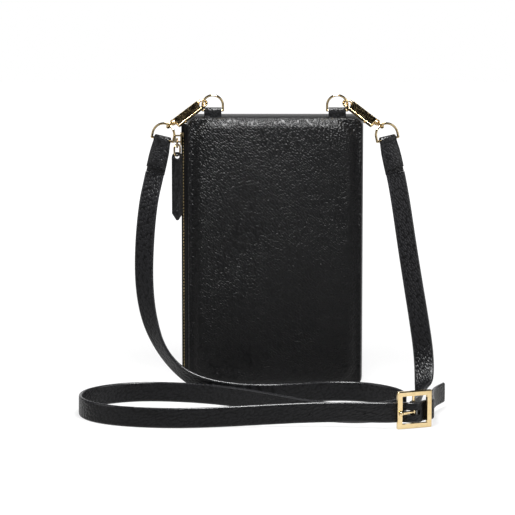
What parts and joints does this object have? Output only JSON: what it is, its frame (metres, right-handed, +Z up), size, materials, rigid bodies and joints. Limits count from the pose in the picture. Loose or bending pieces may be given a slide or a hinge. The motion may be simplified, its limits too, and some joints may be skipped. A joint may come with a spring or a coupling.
{
  "type": "phone pouch",
  "caption": "Upright padded leather phone pouch with a zip along one side, ring tabs on top and a narrow clip-on shoulder strap with a buckle.",
  "frame": {"origin": "middle of the pouch's base, on the surface it stands on", "axes": "+Z up along the pouch's height, +Y from the front panel to the back panel, +X to the right as seen from the front"},
  "size_m": [0.2277, 0.1389, 0.1901],
  "materials": {
    "leather_black": "pebbled, soft sheen",
    "strap_black": "pebbled, edge stitched",
    "lining_black": "smooth woven",
    "padding_foam": "matte foam",
    "zip_tape_black": "woven tape",
    "pale_gold": "polished pale gold plating",
    "spring_steel": "plain"
  },
  "bodies": {
    "pouch": {"back_lining": "lining_black", "back_padding": "padding_foam", "back_panel": "leather_black", "buckle_frame": "pale_gold", "buckle_loop": "strap_black", "buckle_strap": "strap_black", "front_lining": "lining_black", "front_padding": "padding_foam", "front_panel": "leather_black", "gusset": "leather_black", "left_ring_tab": "leather_black", "left_strap_drop": "strap_black", "right_ring_tab": "leather_black", "right_strap_drop": "strap_black", "strap_back_run": "strap_black", "strap_front_run": "strap_black", "strap_middle_run": "strap_black", "tongue_end": "strap_black", "zip_bottom_stop": "pale_gold", "zip_tape_back": "zip_tape_black", "zip_tape_front": "zip_tape_black", "zip_teeth_back": "pale_gold", "zip_teeth_front": "pale_gold"},
    "zip_slider": {"zip_slider": "pale_gold"},
    "pull_ring": {"zip_pull_ring": "pale_gold"},
    "pull_tab": {"zip_tab_ring": "pale_gold", "zip_pull_tab": "leather_black"},
    "prong": {"buckle_prong": "pale_gold"},
    "left_ring": {"left_bag_ring": "pale_gold"},
    "left_clasp": {"left_clasp_body": "pale_gold", "left_gate_pin": "pale_gold", "left_gate_spring": "spring_steel", "left_strap_ring": "pale_gold", "left_strap_end": "strap_black"},
    "left_gate": {"left_clasp_gate": "pale_gold"},
    "left_swivel": {"left_clasp_swivel": "pale_gold"},
    "right_ring": {"right_bag_ring": "pale_gold"},
    "right_clasp": {"right_clasp_body": "pale_gold", "right_gate_pin": "pale_gold", "right_gate_spring": "spring_steel", "right_strap_ring": "pale_gold", "right_strap_end": "strap_black"},
    "right_gate": {"right_clasp_gate": "pale_gold"},
    "right_swivel": {"right_clasp_swivel": "pale_gold"}
  },
  "joints": [
    {"name": "zip_slide", "type": "slide", "parent": "pouch", "child": "zip_slider", "axis": [0, 0, -1], "range_m": [0, 0.14], "deforming": ["zip_teeth_front", "zip_teeth_back"]},
    {"name": "pull_ring_swing", "type": "hinge", "parent": "zip_slider", "child": "pull_ring", "pos_m": [-0.0623, 0, 0.161], "axis": [0, 1, 0], "range_deg": [0, 100]},
    {"name": "pull_tab_swing", "type": "hinge", "parent": "pull_ring", "child": "pull_tab", "pos_m": [-0.0623, 0, 0.1554], "axis": [0, 1, 0], "range_deg": [0, 20]},
    {"name": "prong_lift", "type": "hinge", "parent": "pouch", "child": "prong", "pos_m": [0.08352, -0.11968, 0.01], "axis": [0, 0, 1], "range_deg": [0, 30], "deforming": ["tongue_end"]},
    {"name": "left_ring_swing", "type": "hinge", "parent": "pouch", "child": "left_ring", "pos_m": [-0.0395, -0.004, 0.1796], "axis": [1, 0, 0], "range_deg": [0, 4]},
    {"name": "left_clasp_swing", "type": "hinge", "parent": "pouch", "child": "left_clasp", "pos_m": [-0.0395, -0.00436, 0.18298], "axis": [0, 0.9945, 0.1045], "range_deg": [0, 45], "deforming": ["left_strap_drop"]},
    {"name": "left_gate_open", "type": "hinge", "parent": "left_clasp", "child": "left_gate", "pos_m": [-0.05194, -0.01115, 0.17773], "axis": [0.0369, -0.7257, 0.687], "range_deg": [0, 12], "stiffness_Nm_per_rad": 0.02, "springref_deg": -14.32, "deforming": ["left_gate_spring"]},
    {"name": "left_swivel_turn", "type": "hinge", "parent": "left_clasp", "child": "left_swivel", "pos_m": [-0.06663, -0.0174, 0.17192], "axis": [-0.7121, -0.5015, -0.4914], "range_deg": [-20, 20]},
    {"name": "right_ring_swing", "type": "hinge", "parent": "pouch", "child": "right_ring", "pos_m": [0.0395, -0.004, 0.1796], "axis": [1, 0, 0], "range_deg": [0, 4]},
    {"name": "right_clasp_swing", "type": "hinge", "parent": "pouch", "child": "right_clasp", "pos_m": [0.0395, -0.00436, 0.18298], "axis": [0, -0.9945, -0.1045], "range_deg": [0, 45], "deforming": ["right_strap_drop"]},
    {"name": "right_gate_open", "type": "hinge", "parent": "right_clasp", "child": "right_gate", "pos_m": [0.05194, -0.01115, 0.17773], "axis": [0.0369, 0.7257, -0.687], "range_deg": [0, 12], "stiffness_Nm_per_rad": 0.02, "springref_deg": -14.32, "deforming": ["right_gate_spring"]},
    {"name": "right_swivel_turn", "type": "hinge", "parent": "right_clasp", "child": "right_swivel", "pos_m": [0.06663, -0.0174, 0.17192], "axis": [-0.7121, 0.5015, 0.4914], "range_deg": [-20, 20]}
  ]
}
